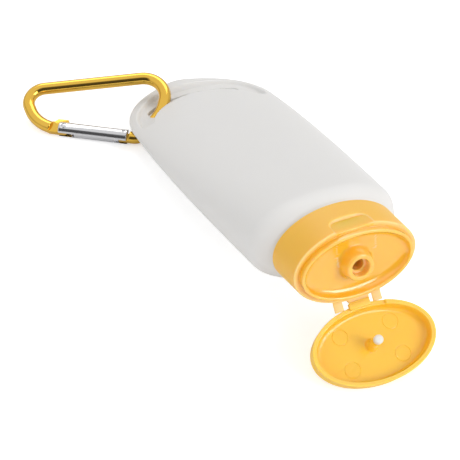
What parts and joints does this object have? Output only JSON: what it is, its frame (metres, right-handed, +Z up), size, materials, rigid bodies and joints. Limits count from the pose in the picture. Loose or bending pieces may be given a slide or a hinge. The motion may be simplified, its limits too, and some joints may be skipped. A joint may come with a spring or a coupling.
{
  "type": "sunscreen tube",
  "caption": "Flat flip-top lotion bottle with a tapered tail, a press-on oval cap, a hinged lid with a sealing pin and a sprung snap hook in its hang slot.",
  "frame": {"origin": "middle of the footprint of the whole object, on the floor it lies on", "axes": "+Y from the tail to the cap, +X to the snap hook's side, +Z up; the bottle lies on its back, propped on its open lid"},
  "size_m": [0.0734, 0.1608, 0.0379],
  "materials": {
    "bottle": "satin white, faintly translucent",
    "cap_base": "moulded, soft gloss",
    "cap_nozzle": "moulded, soft gloss",
    "lid": "moulded, soft gloss",
    "lid_pin_tip": "soft white seal",
    "hinge_strap_left": "thin, translucent",
    "hinge_strap_right": "thin, translucent",
    "carabiner_hook": "gold anodised, polished",
    "carabiner_gate": "bright, polished",
    "gate_rivet": "plain",
    "gate_spring": "plain wire",
    "gate_pusher": "plain",
    "gate_latch_pin": "plain"
  },
  "bodies": {
    "tube": {"bottle": "bottle", "cap_base": "cap_base", "cap_nozzle": "cap_nozzle", "hinge_strap_left": "hinge_strap_left", "hinge_strap_right": "hinge_strap_right"},
    "lid": {"lid": "lid", "lid_pin_tip": "lid_pin_tip"},
    "hook": {"carabiner_hook": "carabiner_hook"},
    "gate": {"carabiner_gate": "carabiner_gate", "gate_rivet": "gate_rivet", "gate_spring": "gate_spring", "gate_pusher": "gate_pusher", "gate_latch_pin": "gate_latch_pin"}
  },
  "joints": [
    {"name": "lid_hinge", "type": "hinge", "parent": "tube", "child": "lid", "pos_m": [-0.01263, 0.06186, 0.01618], "axis": [1, 0, 0], "range_deg": [-40, 135], "deforming": ["hinge_strap_left", "hinge_strap_right"]},
    {"name": "carabiner_swing", "type": "hinge", "parent": "tube", "child": "hook", "pos_m": [-0.00006, -0.05079, 0.00537], "axis": [-0.8012, -0.5042, 0.3223], "range_deg": [-20, 20]},
    {"name": "gate_hinge", "type": "hinge", "parent": "hook", "child": "gate", "pos_m": [0.02786, -0.06115, 0.00225], "axis": [0.2063, 0.2728, 0.9397], "range_deg": [0, 28], "stiffness_Nm_per_rad": 0.02, "springref_deg": -28.65}
  ]
}
